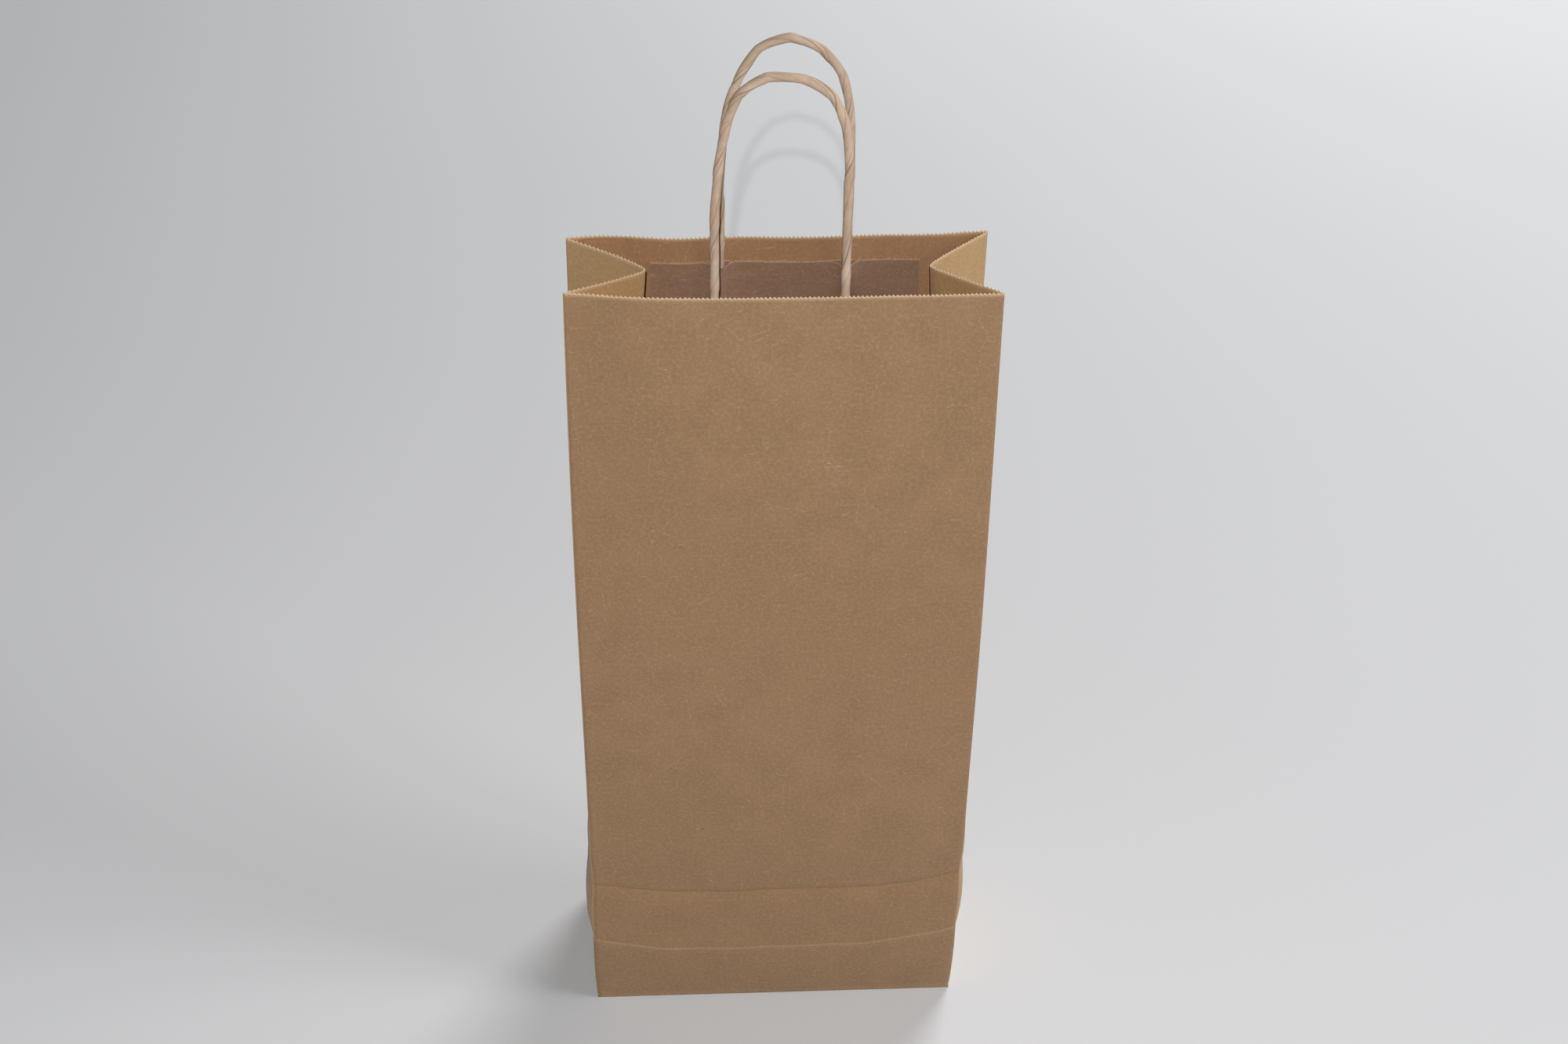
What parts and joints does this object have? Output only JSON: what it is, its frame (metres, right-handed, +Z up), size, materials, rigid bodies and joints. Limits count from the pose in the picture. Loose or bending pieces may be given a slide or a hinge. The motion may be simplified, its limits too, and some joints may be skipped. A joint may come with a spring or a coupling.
{
  "type": "paper gift bag",
  "caption": "Tall kraft paper carrier bag with gusseted sides, a folded block bottom and twisted paper cord loop handles glued under patches inside the mouth.",
  "frame": {"origin": "middle of the base, on the surface the bag stands on", "axes": "+Z up, front panel faces -Y, +X to the right of someone facing the front"},
  "size_m": [0.18, 0.08, 0.4959],
  "materials": {
    "kraft_outside": "matte brown kraft paper, fine fibres and small dark specks",
    "kraft_inside": "matte kraft paper, warmer and darker inside",
    "kraft_gusset": "matte kraft paper, creased at the folds",
    "handle_patch": "matte grey-brown kraft patch paper",
    "paper_cord": "matte twisted paper cord with long helical creases"
  },
  "bodies": {
    "base": {"bottom_outer_flap": "kraft_outside", "bottom_inner_flap": "kraft_inside", "bottom_tab_right": "kraft_inside", "bottom_tab_left": "kraft_inside", "front_lower_wall": "kraft_outside", "back_lower_wall": "kraft_outside", "right_lower_wall": "kraft_gusset", "left_lower_wall": "kraft_gusset"},
    "front_wall": {"front_panel": "kraft_outside", "front_patch_backing": "handle_patch", "front_patch_cover": "handle_patch", "front_handle_end_left": "paper_cord", "front_handle_end_right": "paper_cord"},
    "back_wall": {"back_panel": "kraft_outside", "glue_lap": "kraft_inside", "back_patch_backing": "handle_patch", "back_patch_cover": "handle_patch", "back_handle_end_left": "paper_cord", "back_handle_end_right": "paper_cord"},
    "right_gusset": {"right_gusset_centre": "kraft_gusset"},
    "left_gusset": {"left_gusset_centre": "kraft_gusset"},
    "right_front_corner": {"right_gusset_front": "kraft_gusset"},
    "left_front_corner": {"left_gusset_front": "kraft_gusset"},
    "right_back_corner": {"right_gusset_back": "kraft_gusset"},
    "left_back_corner": {"left_gusset_back": "kraft_gusset"},
    "front_handle": {"front_handle_loop": "paper_cord"},
    "back_handle": {"back_handle_loop": "paper_cord"}
  },
  "joints": [
    {"name": "mouth_opening", "type": "hinge", "parent": "base", "child": "front_wall", "pos_m": [0, -0.04, 0.035], "axis": [1, 0, 0], "range_deg": [-1.6, 2.2]},
    {"name": "back_wall_crease", "type": "hinge", "parent": "base", "child": "back_wall", "pos_m": [0, 0.04, 0.035], "axis": [1, 0, 0], "range_deg": [-2.3, 1.7]},
    {"name": "right_gusset_crease", "type": "hinge", "parent": "base", "child": "right_gusset", "pos_m": [0.09, 0, 0.035], "axis": [0, 1, 0], "range_deg": [-1.9, 1.9]},
    {"name": "left_gusset_crease", "type": "hinge", "parent": "base", "child": "left_gusset", "pos_m": [-0.09, 0, 0.035], "axis": [0, 1, 0], "range_deg": [-1.9, 1.9]},
    {"name": "right_front_corner_crease", "type": "hinge", "parent": "front_wall", "child": "right_front_corner", "pos_m": [0.09, -0.04, 0.035], "axis": [0, 0.041, 0.9992], "range_deg": [-27, 27]},
    {"name": "left_front_corner_crease", "type": "hinge", "parent": "front_wall", "child": "left_front_corner", "pos_m": [-0.09, -0.04, 0.035], "axis": [0, 0.041, 0.9992], "range_deg": [-27, 27]},
    {"name": "right_back_corner_crease", "type": "hinge", "parent": "back_wall", "child": "right_back_corner", "pos_m": [0.09, 0.04, 0.035], "axis": [0, -0.041, 0.9992], "range_deg": [-27, 27]},
    {"name": "left_back_corner_crease", "type": "hinge", "parent": "back_wall", "child": "left_back_corner", "pos_m": [-0.09, 0.04, 0.035], "axis": [0, -0.041, 0.9992], "range_deg": [-27, 27]},
    {"name": "front_handle_fold", "type": "hinge", "parent": "front_wall", "child": "front_handle", "pos_m": [0, -0.02153, 0.40455], "axis": [1, 0, 0], "range_deg": [-3, 110]},
    {"name": "back_handle_fold", "type": "hinge", "parent": "back_wall", "child": "back_handle", "pos_m": [0, 0.02153, 0.40455], "axis": [-1, 0, 0], "range_deg": [-3, 110]}
  ],
  "couplings": [
    {"joint": "back_wall_crease", "follows": "mouth_opening", "ratio": -1},
    {"joint": "right_gusset_crease", "follows": "mouth_opening", "ratio": 0.8},
    {"joint": "left_gusset_crease", "follows": "mouth_opening", "ratio": -0.8},
    {"joint": "right_front_corner_crease", "follows": "mouth_opening", "ratio": -11.7},
    {"joint": "left_front_corner_crease", "follows": "mouth_opening", "ratio": 11.7},
    {"joint": "right_back_corner_crease", "follows": "mouth_opening", "ratio": 11.7},
    {"joint": "left_back_corner_crease", "follows": "mouth_opening", "ratio": -11.7}
  ]
}
